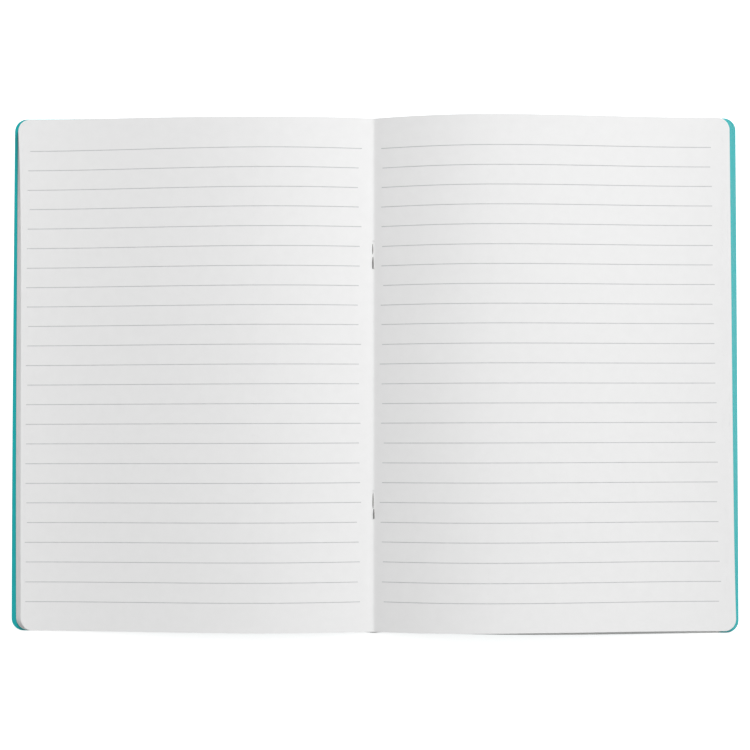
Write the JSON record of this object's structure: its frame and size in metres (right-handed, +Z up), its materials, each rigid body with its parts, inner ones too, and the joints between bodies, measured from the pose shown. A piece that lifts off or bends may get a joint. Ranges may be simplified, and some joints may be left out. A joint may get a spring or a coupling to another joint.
{
  "type": "open ruled notebook",
  "caption": "Thin ruled notebook lying open at its centre spread: folded sheets in a rounded card cover, held through the fold by wire staples, halves arched off the table.",
  "frame": {"origin": "on the table, straight under the middle of the fold: the centre of the bounding box's underside", "axes": "+X across the spread towards the right page, +Y up the page, +Z up from the table"},
  "size_m": [0.296, 0.2108, 0.0117],
  "materials": {
    "cover_card": "smooth dyed card, slight sheen",
    "page_paper": "uncoated white writing paper, ruled in grey",
    "staple_wire": "drawn wire, satin"
  },
  "bodies": {
    "back_half": {"back_cover": "cover_card", "right_pages": "page_paper", "upper_staple": "staple_wire", "lower_staple": "staple_wire"},
    "front_half": {"front_cover": "cover_card", "left_pages": "page_paper"}
  },
  "joints": [
    {"name": "cover_fold", "type": "hinge", "parent": "back_half", "child": "front_half", "pos_m": [0, 0, 0.0035], "axis": [0, 1, 0], "range_deg": [0, 150]}
  ]
}
